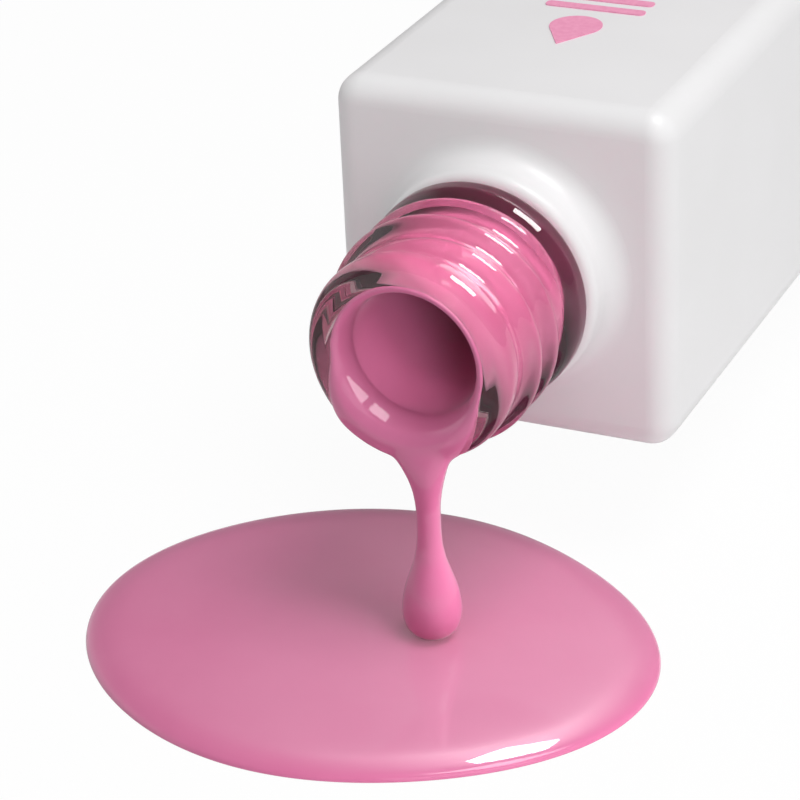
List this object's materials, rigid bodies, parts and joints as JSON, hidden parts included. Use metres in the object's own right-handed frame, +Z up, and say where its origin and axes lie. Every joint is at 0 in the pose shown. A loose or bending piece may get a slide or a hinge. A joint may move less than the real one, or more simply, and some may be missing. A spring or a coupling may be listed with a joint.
{
  "type": "nail polish bottle",
  "caption": "Square white-lacquered glass bottle lying level and pouring pink polish into a pool, with its screw cap and brush drawn out of the neck.",
  "frame": {"origin": "centre of the bottle's flat base", "axes": "+Y out of the base along the bottle's axis, so the mouth faces -Y; +Z up, as the bottle lies when it pours; +X to the right seen from the mouth"},
  "size_m": [0.037, 0.1836, 0.031],
  "materials": {
    "clear_glass": "clear, polished",
    "white_lacquer": "satin sprayed lacquer",
    "pink_ink": "printed",
    "label_paper": "coated paper",
    "gel_polish": "wet, glossy",
    "cap_white": "satin",
    "inner_cap_white": "plain moulded",
    "foam_liner": "fine foam",
    "stem_plastic": "milky, smooth",
    "nylon_bristle": "fine filaments",
    "staple_steel": "bright wire"
  },
  "bodies": {
    "bottle": {"glass_bottle": "clear_glass", "lacquer_coat": "white_lacquer", "printed_mark": "pink_ink", "base_label": "label_paper", "polish_fill": "gel_polish", "polish_stream": "gel_polish", "polish_pool": "gel_polish"},
    "seal": {"cap_liner": "foam_liner"},
    "cap": {"outer_cap": "cap_white", "inner_cap": "inner_cap_white", "brush_stem": "stem_plastic", "bristle_staple": "staple_steel", "brush_bristles": "nylon_bristle"}
  },
  "joints": [
    {"name": "draw_out", "type": "slide", "parent": "bottle", "child": "seal", "axis": [0, 1, 0], "range_m": [0, 0.106], "deforming": ["polish_stream"]},
    {"name": "cap_turn", "type": "hinge", "parent": "seal", "child": "cap", "pos_m": [0, -0.18, 0], "axis": [0, 1, 0], "range_deg": [0, 720]}
  ]
}
